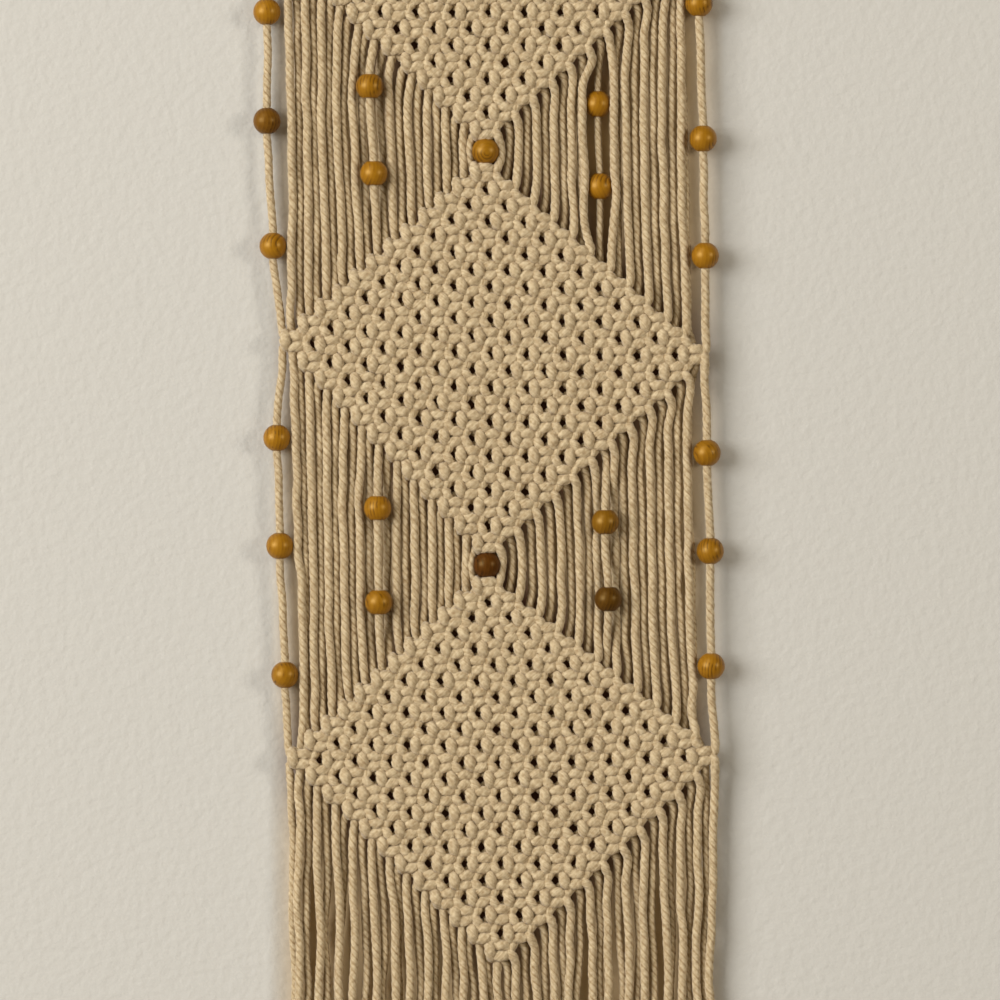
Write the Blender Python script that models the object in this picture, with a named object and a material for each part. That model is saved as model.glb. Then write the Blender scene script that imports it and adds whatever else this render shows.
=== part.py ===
"""Macrame wall hanging of three-ply cotton cord with wooden beads.

It hangs in the XZ plane and faces -Y. The origin is the middle of its top edge.
One solid holds all the knotted cord: a heading, three nets of square knots, the bare
cords that hang between the nets and the fringe. Each bead is a solid of its own, with
a bore that its cord runs through. All sizes are in metres.
"""

import math
from collections import namedtuple

import bmesh
import bpy

# Driving dimensions.
CORD = 0.004  # thickness of the cord
KNOTS_ACROSS = 12  # square knots in the widest row of a net
CORDS = 4 * KNOTS_ACROSS  # every knot of that row ties four cords
BEAD_DIAMETER = 0.012
FRINGE_END = -0.578  # height at which the fringe is cut

# The solid has two grid steps for each knot along both edges of a net.
STEPS = 2 * KNOTS_ACROSS
LAST = KNOTS_ACROSS - 1

# Half the thickness of a net at a knot, between two knots, in the hollow between
# four knots, and along the rim that the bare cords leave from.
KNOT_RISE = 0.0046
BETWEEN_RISE = 0.0031
HOLLOW_RISE = 0.0012
RIM_RISE = 0.0021
# How far the rim stands off the outer knots, in rows: less at the points of a net.
POINT_MARGIN = 0.20
CORNER_MARGIN = 0.50

# Centres of the four corner knots of each net as (x, z). Hand work is uneven, so no
# net is quite square. Only the lower half of the first net is knotted.
Net = namedtuple("Net", "top left right bottom half")
NETS = (
    Net((0.0016, 0.0578), (-0.0872, -0.0230), (0.0864, -0.0230), (-0.0024, -0.1038), True),
    Net((-0.0024, -0.1231), (-0.0854, -0.1969), (0.0885, -0.2026), (-0.0013, -0.2849), False),
    Net((-0.0013, -0.3038), (-0.0823, -0.3791), (0.0929, -0.3778), (0.0044, -0.4632), False),
)

# The heading: cords folded over a holding cord. Each row is a height and half the
# thickness there, from the first knots up to the top edge.
HeadingRow = namedtuple("HeadingRow", "z rise")
HEADING = (
    HeadingRow(-0.0130, 0.0026),
    HeadingRow(-0.0105, 0.0056),
    HeadingRow(-0.0020, 0.0056),
    HeadingRow(0.0000, 0.0030),
)
HEADING_GROOVE = 0.82  # thickness left between two folds, as a share of a fold's
STUB = 0.0045  # length of holding cord that shows past the folds
STUB_HALF = 0.0019

# A bare cord is a four-sided strand, a little slimmer than its cord so that strands
# stay apart. Cords lie in front of the net's middle and behind it by turns.
STRAND_HALF = 0.0016
LAYER = 0.0019
LEAD = 0.0025  # from a rim to a strand's first full section
GATHER = 0.03  # how far the bare cords draw in halfway between two nets
FRINGE_WAVE = 0.0007
FRINGE_PHASE = 2.4

# A strand is thinner where it runs in a bead's bore, and two share the middle beads.
THREADED_HALF = 0.0015
PAIRED_HALF = 0.0011
PAIRED_OFFSET = 0.00135
BORE = 0.0026
PAIRED_BORE = 0.0031
BEAD_SIDES = 12
BEAD_ARC = 4
BEAD_HOLD = 0.0070  # a cord runs straight this far either side of a bead's middle
PAIRED_HOLD = 0.0056
# A cord beside a bead keeps its middle this far from the bead's, from this far above
# the bead's middle to as far below.
BESIDE_REACH = BEAD_DIAMETER / 2 + math.sqrt(2) * STRAND_HALF + 0.0003
BESIDE_HOLD = 0.0045
LONG = 0.060  # a bare cord longer than this has a section halfway

# Beads: the cord each is on, or the left one of two, its middle and its wood. The
# setting is "beside" where neighbouring cords move aside, "proud" where the bead
# stands in front of them, and "paired" on the two cords in the middle.
Bead = namedtuple("Bead", "name cord x y z wood setting")
BEADS = (
    Bead("bead_left_1", 0, -0.0977, 0.0, -0.0523, "honey", "beside"),
    Bead("bead_left_2", 0, -0.0977, 0.0, -0.1001, "brown", "beside"),
    Bead("bead_left_3", 0, -0.0950, 0.0, -0.1548, "honey", "beside"),
    Bead("bead_left_4", 0, -0.0933, 0.0, -0.2389, "honey", "beside"),
    Bead("bead_left_5", 0, -0.0920, 0.0, -0.2862, "honey", "beside"),
    Bead("bead_left_6", 0, -0.0898, 0.0, -0.3427, "honey", "beside"),
    Bead("bead_right_1", 47, 0.0915, -0.0025, -0.0488, "honey", "beside"),
    Bead("bead_right_2", 47, 0.0933, -0.0025, -0.1080, "honey", "beside"),
    Bead("bead_right_3", 47, 0.0942, -0.0025, -0.1592, "honey", "beside"),
    Bead("bead_right_4", 47, 0.0950, -0.0025, -0.2455, "honey", "beside"),
    Bead("bead_right_5", 47, 0.0964, -0.0025, -0.2884, "honey", "beside"),
    Bead("bead_right_6", 47, 0.0968, -0.0025, -0.3388, "honey", "beside"),
    Bead("bead_inner_left_1", 11, -0.0526, -0.0045, -0.0852, "honey", "proud"),
    Bead("bead_inner_left_2", 11, -0.0508, -0.0045, -0.1233, "honey", "proud"),
    Bead("bead_inner_left_3", 11, -0.0491, -0.0045, -0.2696, "honey", "proud"),
    Bead("bead_inner_left_4", 11, -0.0486, -0.0045, -0.3108, "honey", "proud"),
    Bead("bead_inner_right_1", 36, 0.0473, 0.0020, -0.0926, "honey", "beside"),
    Bead("bead_inner_right_2", 36, 0.0482, 0.0020, -0.1286, "honey", "beside"),
    Bead("bead_inner_right_3", 36, 0.0504, -0.0045, -0.2757, "honey", "proud"),
    Bead("bead_inner_right_4", 36, 0.0517, -0.0045, -0.3094, "brown", "proud"),
    Bead("bead_middle_1", 23, -0.0019, -0.0015, -0.1134, "honey", "paired"),
    Bead("bead_middle_2", 23, -0.0013, -0.0015, -0.2945, "dark", "paired"),
)

WOODS = {
    "honey": (0.42, 0.20, 0.045),
    "brown": (0.22, 0.095, 0.025),
    "dark": (0.09, 0.035, 0.012),
}
COTTON = (0.60, 0.47, 0.31)
COTTON_ROUGHNESS = 0.9
WOOD_ROUGHNESS = 0.35
SHARP_DEGREES = 40

# Rim faces whose normals lean up or down by this much take or let go of cords, and
# those that face sideways by this much are the heading's ends.
SLANT = 0.3
SIDEWAYS = 0.7

Section = namedtuple("Section", "x y z half")


def layer(cord):
    """Depth at which a bare cord hangs: even cords behind, odd cords in front."""
    return LAYER if cord % 2 == 0 else -LAYER


def lattice(a, b):
    """Steps across from a net's middle and rows down from its top, at a grid corner.

    Knots lie where a and b are both odd. On the rim the point is drawn in, so that
    the outer knots end a little way past their middles.
    """
    across = (a - b) / 2
    row = (a + b) / 2 - 1
    margin = POINT_MARGIN + (CORNER_MARGIN - POINT_MARGIN) * abs(across) / KNOTS_ACROSS
    if min(a, b) == 0:
        row = abs(across) - 2 * margin
    if max(a, b) == STEPS:
        row = 2 * LAST - abs(across) + 2 * margin
    return across, row


def net_point(net, across, row):
    """Blends the net's four corners, so an uneven net stays evenly spaced."""
    right = (row + across) / 2 / LAST
    left = (row - across) / 2 / LAST
    shares = (
        (1 - right) * (1 - left),
        (1 - right) * left,
        right * (1 - left),
        right * left,
    )
    corners = (net.top, net.left, net.right, net.bottom)
    x = sum(share * corner[0] for share, corner in zip(shares, corners))
    z = sum(share * corner[1] for share, corner in zip(shares, corners))
    return x, z


def rise(a, b):
    """Half the net's thickness at a grid corner."""
    if min(a, b) == 0 or max(a, b) == STEPS:
        return RIM_RISE
    odd = a % 2 + b % 2
    return (HOLLOW_RISE, BETWEEN_RISE, KNOT_RISE)[odd]


def is_knotted(net, face, index):
    """Whether a grid face belongs to a knot that the net really has."""
    a = min(index[vert][0] for vert in face.verts)
    b = min(index[vert][1] for vert in face.verts)
    return not net.half or a // 2 + b // 2 >= LAST


def faces_of(verts):
    """Every face that touches one of the verts."""
    return list({face: None for vert in verts for face in vert.link_faces})


def add_heading(bm, index):
    """Carries the top of the half net up into the folds over the holding cord."""
    edges = []
    for edge in {edge: None for vert in index for edge in vert.link_edges}:
        ends = [index[vert] for vert in edge.verts]
        on_rim = any(all(end[side] == STEPS for end in ends) for side in (0, 1))
        if edge.is_boundary and not on_rim:
            edges.append(edge)
    for row in HEADING:
        columns = {}
        for vert in {vert: None for edge in edges for vert in edge.verts}:
            columns[round(vert.co.x, 5)] = index[vert]
        made = bmesh.ops.extrude_edge_only(bm, edges=edges)["geom"]
        edges = [item for item in made if isinstance(item, bmesh.types.BMEdge)]
        for vert in {vert: None for edge in edges for vert in edge.verts}:
            a, b = columns[round(vert.co.x, 5)]
            index[vert] = (a, b)
            depth = row.rise * (HEADING_GROOVE if (a - b) % 2 == 0 else 1)
            vert.co = (vert.co.x, -depth, row.z)


def add_net(bm, net):
    """Adds one net as a closed ridged sheet, and returns the faces of its rim."""
    made = bmesh.ops.create_grid(bm, x_segments=STEPS, y_segments=STEPS, size=1.0)
    index = {}
    for vert in made["verts"]:
        a = round((vert.co.x + 1) / 2 * STEPS)
        b = round((vert.co.y + 1) / 2 * STEPS)
        index[vert] = (a, b)
    bare = [face for face in faces_of(index) if not is_knotted(net, face, index)]
    bmesh.ops.delete(bm, geom=bare, context="FACES")
    index = {vert: place for vert, place in index.items() if vert.is_valid}
    for vert, (a, b) in index.items():
        x, z = net_point(net, *lattice(a, b))
        vert.co = (x, -rise(a, b), z)
    for face in faces_of(index):
        by_height = sorted(face.verts, key=lambda vert: sum(n % 2 for n in index[vert]))
        bmesh.utils.face_split(face, by_height[-1], by_height[0])
    if net.half:
        add_heading(bm, index)

    made = bmesh.ops.extrude_face_region(bm, geom=faces_of(index))["geom"]
    back = [item for item in made if isinstance(item, bmesh.types.BMVert)]
    for vert in back:
        vert.co.y = -vert.co.y
    faces = faces_of(back) + faces_of(index)
    bmesh.ops.recalc_face_normals(bm, faces=list({face: None for face in faces}))
    return [face for face in faces_of(back) if any(vert in index for vert in face.verts)]


def from_left(faces):
    return sorted(faces, key=lambda face: face.calc_center_median().x)


def side_of(face, vert):
    """Which corner of a four-sided section a vert is: left or right, front or back."""
    middle = face.calc_center_median()
    return vert.co.x > middle.x, vert.co.y > middle.y


def grow(bm, face, sections):
    """Draws a strand out of a face, one length to each section."""
    for section in sections:
        sides = {}
        made = bmesh.ops.extrude_discrete_faces(bm, faces=[face])["faces"]
        face = made[0]
        for vert in face.verts:
            sides[vert] = side_of(face, vert)
        for vert, (right, behind) in sides.items():
            x = section.x + (section.half if right else -section.half)
            y = section.y + (section.half if behind else -section.half)
            vert.co = (x, y, section.z)
    return face


def join(bm, face, rim_face):
    """Ties a strand's end to a net: the two faces meet and open into each other."""
    end = bmesh.ops.extrude_discrete_faces(bm, faces=[face])["faces"][0]
    corners = {side_of(rim_face, vert): vert for vert in rim_face.verts}
    meeting = {vert: corners[side_of(end, vert)] for vert in end.verts}
    bmesh.ops.delete(bm, geom=[end, rim_face], context="FACES_ONLY")
    bmesh.ops.weld_verts(bm, targetmap=meeting)


def lowest(face):
    return min(vert.co.z for vert in face.verts)


def highest(face):
    return max(vert.co.z for vert in face.verts)


def carries(cord, bead):
    """Whether the bead is strung on this cord."""
    return cord == bead.cord or (bead.setting == "paired" and cord == bead.cord + 1)


def threaded(cord, bead):
    """The sections of a cord above and below the bead it runs through."""
    x, half, hold = bead.x, THREADED_HALF, BEAD_HOLD
    if bead.setting == "paired":
        x += PAIRED_OFFSET if cord > bead.cord else -PAIRED_OFFSET
        half, hold = PAIRED_HALF, PAIRED_HOLD
    return [Section(x, bead.y, bead.z + hold, half), Section(x, bead.y, bead.z - hold, half)]


def make_room(x, y, bead):
    """Where a cord at (x, y) hangs beside a bead: clear of it, and moved little."""
    across = x - bead.x
    depth = y - bead.y
    distance = math.hypot(across, depth)
    if distance >= BESIDE_REACH:
        return x, y
    if bead.setting == "proud":
        return x, bead.y + math.sqrt(BESIDE_REACH**2 - across**2)
    stretch = BESIDE_REACH / distance
    return bead.x + across * stretch, bead.y + depth * stretch


def hanging_sections(cord, upper, lower):
    """Sections of a bare cord on its way from one net's rim down to the next."""
    start = upper.calc_center_median()
    end = lower.calc_center_median()

    def freely(z):
        share = (start.z - z) / (start.z - end.z)
        draw = 1 - GATHER * math.sin(math.pi * share)
        return (start.x + (end.x - start.x) * share) * draw, layer(cord)

    first = lowest(upper) - LEAD
    last = highest(lower) + LEAD
    near = [bead for bead in BEADS if end.z < bead.z < start.z]
    own = [bead for bead in near if carries(cord, bead)]
    sections = [section for bead in own for section in threaded(cord, bead)]
    if any(bead.setting == "paired" for bead in own):
        return sections
    for bead in near:
        for z in (bead.z + BESIDE_HOLD, bead.z - BESIDE_HOLD):
            place = make_room(*freely(z), bead)
            if not own and place != freely(z) and last < z < first:
                sections.append(Section(*place, z, STRAND_HALF))
    if not sections and first - last > LONG:
        middle = (first + last) / 2
        sections.append(Section(*freely(middle), middle, STRAND_HALF))
    sections.append(Section(*freely(first), first, STRAND_HALF))
    sections.append(Section(*freely(last), last, STRAND_HALF))
    return sorted(sections, key=lambda section: -section.z)


def fringe_sections(cord, rim_face):
    """Sections of a fringe strand, which sways a little from its fellows."""
    start = rim_face.calc_center_median()
    first = lowest(rim_face) - LEAD
    middle = (first + FRINGE_END) / 2
    sway = FRINGE_WAVE * math.sin(FRINGE_PHASE * cord)
    return [
        Section(start.x, layer(cord), first, STRAND_HALF),
        Section(start.x + sway, layer(cord), middle, STRAND_HALF),
        Section(start.x, layer(cord), FRINGE_END, STRAND_HALF),
    ]


def add_stubs(bm, rim):
    """Draws the ends of the holding cord out of the two sides of the heading."""
    bar = (HEADING[1].z + HEADING[2].z) / 2
    ends = [face for face in rim if abs(face.calc_center_median().z - bar) < CORD / 4]
    for end in ends:
        outward = math.copysign(1, end.calc_center_median().x)
        for reach in (0.0, STUB):
            side = bmesh.ops.extrude_discrete_faces(bm, faces=[end])["faces"][0]
            middle = side.calc_center_median()
            places = {}
            for vert in side.verts:
                behind = math.copysign(STUB_HALF, vert.co.y - middle.y)
                above = math.copysign(STUB_HALF, vert.co.z - middle.z)
                places[vert] = (middle.x + outward * reach, behind, bar + above)
            for vert, place in places.items():
                vert.co = place
            end = side


def macrame():
    """All the knotted cord: heading, nets, bare cords and fringe in one solid."""
    bm = bmesh.new()
    rims = [add_net(bm, net) for net in NETS]
    lets_go = [from_left(face for face in rim if face.normal.z < -SLANT) for rim in rims]
    takes = [from_left(face for face in rim if face.normal.z > SLANT) for rim in rims[1:]]
    add_stubs(bm, [face for face in rims[0] if abs(face.normal.x) > SIDEWAYS])
    for upper, lower in zip(lets_go, takes):
        for cord in range(CORDS):
            sections = hanging_sections(cord, upper[cord], lower[cord])
            join(bm, grow(bm, upper[cord], sections), lower[cord])
    for cord in range(CORDS):
        face = lets_go[-1][cord]
        grow(bm, face, fringe_sections(cord, face))
    return finished("macrame", bm, "cotton", COTTON, COTTON_ROUGHNESS)


def turned_bead(bead):
    """A round bead with its bore, turned from half of its section."""
    bore = PAIRED_BORE if bead.setting == "paired" else BORE
    mouth = math.acos(bore / (BEAD_DIAMETER / 2))
    bm = bmesh.new()
    profile = []
    for step in range(BEAD_ARC + 1):
        angle = mouth * (1 - 2 * step / BEAD_ARC)
        across = BEAD_DIAMETER / 2 * math.cos(angle)
        up = BEAD_DIAMETER / 2 * math.sin(angle)
        profile.append(bm.verts.new((across, 0, up)))
    outline = zip(profile, profile[1:] + profile[:1])
    edges = [bm.edges.new(pair) for pair in outline]
    bmesh.ops.spin(
        bm,
        geom=edges,
        cent=(0, 0, 0),
        axis=(0, 0, 1),
        angle=math.tau,
        steps=BEAD_SIDES,
        use_merge=True,
    )
    bmesh.ops.recalc_face_normals(bm, faces=list(bm.faces))
    piece = finished(bead.name, bm, "wood_" + bead.wood, WOODS[bead.wood], WOOD_ROUGHNESS)
    piece.data.shade_smooth()
    piece.data.set_sharp_from_angle(angle=math.radians(SHARP_DEGREES))
    piece.location = (bead.x, bead.y, bead.z)
    return piece


def material(name, colour, roughness):
    """A Principled material, made once for each name."""
    found = bpy.data.materials.get(name)
    if found:
        return found
    made = bpy.data.materials.new(name)
    made.use_nodes = True
    shader = made.node_tree.nodes["Principled BSDF"]
    shader.inputs["Base Color"].default_value = (*colour, 1)
    shader.inputs["Roughness"].default_value = roughness
    shader.inputs["Metallic"].default_value = 0
    return made


def finished(name, bm, finish, colour, roughness):
    """Turns a bmesh into a named object in the scene."""
    mesh = bpy.data.meshes.new(name)
    bm.to_mesh(mesh)
    bm.free()
    mesh.materials.append(material(finish, colour, roughness))
    piece = bpy.data.objects.new(name, mesh)
    bpy.context.scene.collection.objects.link(piece)
    return piece


def main():
    for old in list(bpy.data.objects):
        bpy.data.objects.remove(old, do_unlink=True)
    macrame()
    for bead in BEADS:
        turned_bead(bead)


main()
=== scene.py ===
# %% [markdown]
# # A macrame wall hanging, cord by cord
#
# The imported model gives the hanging's size and place: a heading, three nets of square
# knots, bare cords between them, a fringe, and wooden beads. Its nets are plain ridged
# sheets. Here every cord is drawn again as the maker laid it, from its fold at the top,
# through each of its knots, to its cut end in the fringe.

import math
from collections import namedtuple

import bmesh
import bpy
import numpy as np
from mathutils import Matrix, Vector


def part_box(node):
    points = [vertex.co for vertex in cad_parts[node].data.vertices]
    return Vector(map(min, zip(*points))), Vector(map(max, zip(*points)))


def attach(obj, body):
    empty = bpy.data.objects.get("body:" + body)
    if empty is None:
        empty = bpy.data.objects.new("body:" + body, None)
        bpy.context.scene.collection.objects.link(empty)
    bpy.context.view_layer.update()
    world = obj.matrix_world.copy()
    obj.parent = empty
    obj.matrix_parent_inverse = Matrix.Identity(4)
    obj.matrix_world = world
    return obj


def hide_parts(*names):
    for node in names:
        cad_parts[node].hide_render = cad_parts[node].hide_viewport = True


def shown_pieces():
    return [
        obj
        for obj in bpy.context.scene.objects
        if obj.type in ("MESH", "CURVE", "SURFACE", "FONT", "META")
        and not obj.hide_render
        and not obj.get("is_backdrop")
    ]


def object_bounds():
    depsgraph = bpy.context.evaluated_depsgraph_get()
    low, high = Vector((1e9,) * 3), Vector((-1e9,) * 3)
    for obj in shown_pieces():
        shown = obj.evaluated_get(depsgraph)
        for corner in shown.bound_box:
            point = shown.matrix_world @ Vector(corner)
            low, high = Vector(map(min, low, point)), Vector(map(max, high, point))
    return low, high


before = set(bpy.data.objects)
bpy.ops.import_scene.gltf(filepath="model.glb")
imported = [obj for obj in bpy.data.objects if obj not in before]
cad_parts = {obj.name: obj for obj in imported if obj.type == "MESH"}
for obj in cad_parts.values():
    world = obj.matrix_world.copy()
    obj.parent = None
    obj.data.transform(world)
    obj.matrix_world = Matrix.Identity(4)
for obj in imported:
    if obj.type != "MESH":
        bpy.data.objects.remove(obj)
cad_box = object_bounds()
print("nodes:", len(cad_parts))

# %% [markdown]
# ## Sizes
#
# The cord is 4 mm thick, and a square knot ties four cords, so a knot is four cords
# wide. Each net is a grid of knots turned by 45 degrees. A knot is named by its steps
# down to the right and down to the left from the net's top. Four corners place a net,
# and blending them keeps an uneven, hand-made net evenly spaced.

# %% Nets
CORD = 0.004
KNOTS_ACROSS = 12
CORDS = 4 * KNOTS_ACROSS
LAST = KNOTS_ACROSS - 1
HALF_PITCH = 0.00793  # half the distance between two knots of a row
ROW = 0.00736  # from a row of knots down to the next
FRINGE_END = -0.578

Net = namedtuple("Net", "top left right bottom first_row")
NETS = (
    Net((0.0016, 0.0578), (-0.0872, -0.0230), (0.0864, -0.0230), (-0.0024, -0.1038), LAST),
    Net((-0.0024, -0.1231), (-0.0854, -0.1969), (0.0885, -0.2026), (-0.0013, -0.2849), 0),
    Net((-0.0013, -0.3038), (-0.0823, -0.3791), (0.0929, -0.3778), (0.0044, -0.4632), 0),
)


def net_point(net, across, row):
    """The place, as (x, z), of a point counted in steps across and rows down."""
    right = (row + across) / 2 / LAST
    left = (row - across) / 2 / LAST
    shares = np.array(
        [(1 - right) * (1 - left), (1 - right) * left, right * (1 - left), right * left]
    )
    return shares @ np.array([net.top, net.left, net.right, net.bottom])


def knots_of(net):
    """Every knot of a net as (steps across, row)."""
    for row in range(net.first_row, 2 * LAST + 1):
        reach = min(row, 2 * LAST - row)
        for across in range(-reach, reach + 1, 2):
            yield across, row


print("knots:", [len(list(knots_of(net))) for net in NETS])

# %% [markdown]
# ## One square knot
#
# A square knot has two working cords, A on the left and D on the right, and two
# filler cords, B and C, that hang straight through it. A crosses in front of the
# fillers, passes under D, turns and comes back. D goes behind the fillers, comes up
# on the left and folds down over both ends of A, which makes the upright bump on the
# knot's left side. Then it goes back behind the fillers and leaves over A's turn.
#
# It could be modelled once as a lump and copied, but then no cord would lead into the
# next knot. So the knot is a table of the points that each of its four cords passes,
# in millimetres from the knot's middle, with the cord's girth there.

# %% The four cords of a knot
Via = namedtuple("Via", "across up out girth")
SQUARE_KNOT = {
    "A": (
        Via(-6.8, 2.5, 0.2, 0.96),
        Via(-5.2, 1.7, -0.2, 0.96),
        Via(-3.4, 1.8, 0.8, 1.04),
        Via(-1.4, 2.1, 2.6, 1.26),
        Via(0.8, 2.2, 3.3, 1.33),
        Via(2.8, 2.1, 2.7, 1.24),
        Via(4.4, 1.6, 1.2, 1.02),
        Via(5.1, 0.3, 0.4, 0.94),
        Via(4.4, -1.1, 1.2, 1.00),
        Via(2.8, -1.7, 2.6, 1.26),
        Via(0.8, -2.0, 3.2, 1.34),
        Via(-1.4, -2.4, 2.6, 1.26),
        Via(-3.4, -2.6, 0.8, 1.02),
        Via(-5.4, -2.5, 0.0, 0.98),
        Via(-6.7, -3.1, 0.0, 0.98),
        Via(-7.1, -4.3, -0.3, 0.98),
    ),
    "B": (
        Via(-1.0, 1.5, -0.4, 0.98),
        Via(-1.3, 0.0, -0.5, 0.98),
        Via(-1.1, -2.0, -0.3, 0.98),
        Via(-1.0, -3.8, 0.6, 1.02),
    ),
    "C": (
        Via(1.0, 1.5, -0.5, 0.98),
        Via(1.3, 0.0, -0.5, 0.98),
        Via(1.2, -2.0, -0.4, 0.98),
        Via(1.2, -3.8, 0.1, 1.02),
    ),
    "D": (
        Via(6.5, 2.9, 1.8, 1.00),
        Via(5.5, 1.7, 2.9, 1.02),
        Via(4.4, 0.5, 2.2, 0.98),
        Via(3.2, 0.2, -0.6, 0.98),
        Via(1.4, 0.9, -2.8, 1.05),
        Via(-1.2, 1.9, -3.0, 1.09),
        Via(-3.6, 3.0, -1.3, 1.04),
        Via(-4.3, 3.4, 1.2, 1.08),
        Via(-4.3, 1.9, 3.5, 1.25),
        Via(-4.1, 0.1, 4.2, 1.36),
        Via(-3.8, -1.7, 3.6, 1.25),
        Via(-3.3, -3.1, 1.4, 1.06),
        Via(-2.7, -2.8, -1.2, 1.02),
        Via(-0.6, -1.9, -3.0, 1.09),
        Via(1.6, -1.0, -2.8, 1.05),
        Via(3.3, -0.5, -0.6, 0.98),
        Via(4.3, -0.5, 2.2, 1.00),
        Via(5.1, -1.4, 3.5, 1.10),
        Via(6.2, -2.9, 3.4, 1.10),
        Via(7.1, -4.3, 2.0, 1.06),
    ),
}
LEAVING = {  # how a cord leaves its last knot of a net, in place of its last points there
    "A": (2, ()),
    "B": (0, ()),
    "C": (0, (Via(2.9, -6.6, -0.5, 0.96),)),
    "D": (2, (Via(6.2, -3.4, 3.0, 1.06), Via(7.0, -6.4, 1.9, 0.99))),
}
KNOT_SLIP = 0.22  # spread of a knot's place, in millimetres
POINT_SLIP = 0.13  # and of each point in it
chance = np.random.default_rng(12)
knot_slip = {
    (net, knot): chance.normal(0, KNOT_SLIP, 2) for net in NETS for knot in knots_of(net)
}


def knotted(net, knot, role, first, last):
    """The points of one cord in one knot, each a little out of true as hand work is.

    Above its first knot a cord hangs straight, so the point that comes from a knot above
    is left out. Below its last knot the cord leans out to the right and then hangs, but
    not at the net's right corner, where it hangs straight.
    """
    vias = SQUARE_KNOT[role]
    if first and role in "AD":
        vias = vias[1:]
    if last:
        dropped, added = LEAVING[role]
        vias = vias[: len(vias) - dropped] + (added if knot[0] < LAST else ())
    across, row = knot
    points = []
    for via in vias:
        slip = chance.normal(0, POINT_SLIP, 3)
        slip[:2] += knot_slip[net, knot]
        x, z = net_point(
            net,
            across + (via.across + slip[0]) / 1000 / HALF_PITCH,
            row - (via.up + slip[1]) / 1000 / ROW,
        )
        points.append((x, -(via.out + slip[2]) / 1000, z, via.girth))
    return points


print("points in a knot:", {role: len(vias) for role, vias in SQUARE_KNOT.items()})

# %% [markdown]
# ## Beads
#
# The outermost cords, two inner ones and the pair in the middle carry round wooden
# beads. A cord with a bead runs straight through its bore, and its neighbours either
# pass behind the bead or bow out around it, some of them wide apart.

# %% Bead places
Bead = namedtuple("Bead", "name cord x y z wood setting")
BEAD_RADIUS = 0.006
BESIDE = BEAD_RADIUS + CORD / 2
BEAD_TOLERANCE = 0.0005
# For each setting: how near a neighbour may come to the bead across the hanging, and how
# far above and below the bead the neighbour starts to bow out.
REACH = {"outer": 0.0080, "apart": 0.0067, "proud": 0.0080, "paired": 0.0068}
EASE = {"outer": 0.060, "apart": 0.032, "proud": 0.014, "paired": 0.018}
BEADS = (
    Bead("bead_left_1", 0, -0.0977, 0.0, -0.0523, "honey", "outer"),
    Bead("bead_left_2", 0, -0.0977, 0.0, -0.1001, "brown", "outer"),
    Bead("bead_left_3", 0, -0.0950, 0.0, -0.1548, "honey", "outer"),
    Bead("bead_left_4", 0, -0.0933, 0.0, -0.2389, "honey", "outer"),
    Bead("bead_left_5", 0, -0.0920, 0.0, -0.2862, "honey", "outer"),
    Bead("bead_left_6", 0, -0.0898, 0.0, -0.3427, "honey", "outer"),
    Bead("bead_right_1", 47, 0.0915, -0.0025, -0.0488, "honey", "outer"),
    Bead("bead_right_2", 47, 0.0933, -0.0025, -0.1080, "honey", "outer"),
    Bead("bead_right_3", 47, 0.0942, -0.0025, -0.1592, "honey", "outer"),
    Bead("bead_right_4", 47, 0.0950, -0.0025, -0.2455, "honey", "outer"),
    Bead("bead_right_5", 47, 0.0964, -0.0025, -0.2884, "honey", "outer"),
    Bead("bead_right_6", 47, 0.0968, -0.0025, -0.3388, "honey", "outer"),
    Bead("bead_inner_left_1", 11, -0.0526, -0.0045, -0.0852, "honey", "proud"),
    Bead("bead_inner_left_2", 11, -0.0508, -0.0045, -0.1233, "honey", "proud"),
    Bead("bead_inner_left_3", 11, -0.0491, -0.0045, -0.2696, "honey", "proud"),
    Bead("bead_inner_left_4", 11, -0.0486, -0.0045, -0.3108, "honey", "proud"),
    Bead("bead_inner_right_1", 36, 0.0473, 0.0020, -0.0926, "honey", "apart"),
    Bead("bead_inner_right_2", 36, 0.0482, 0.0020, -0.1286, "honey", "apart"),
    Bead("bead_inner_right_3", 36, 0.0504, -0.0045, -0.2757, "honey", "proud"),
    Bead("bead_inner_right_4", 36, 0.0517, -0.0045, -0.3094, "brown", "proud"),
    Bead("bead_middle_1", 23, -0.0019, -0.0015, -0.1134, "honey", "paired"),
    Bead("bead_middle_2", 23, -0.0013, -0.0015, -0.2945, "dark", "paired"),
)
for bead in BEADS:
    low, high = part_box(bead.name)
    middle = (low + high) / 2
    off = max(abs(middle.x - bead.x), abs(middle.y - bead.y), abs(middle.z - bead.z))
    if off > BEAD_TOLERANCE:
        print(bead.name, "is not at its place in the frame")
print("beads:", len(BEADS))

# %% [markdown]
# ## Bare cords
#
# Between two nets each cord hangs free, and below the last net it ends in the fringe.
# Cords lie behind and in front by turns, because a knot lets two of its cords go from
# behind and two from the front. Hanging cord is never quite straight, so each one
# sways by a fraction of its thickness.

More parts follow.
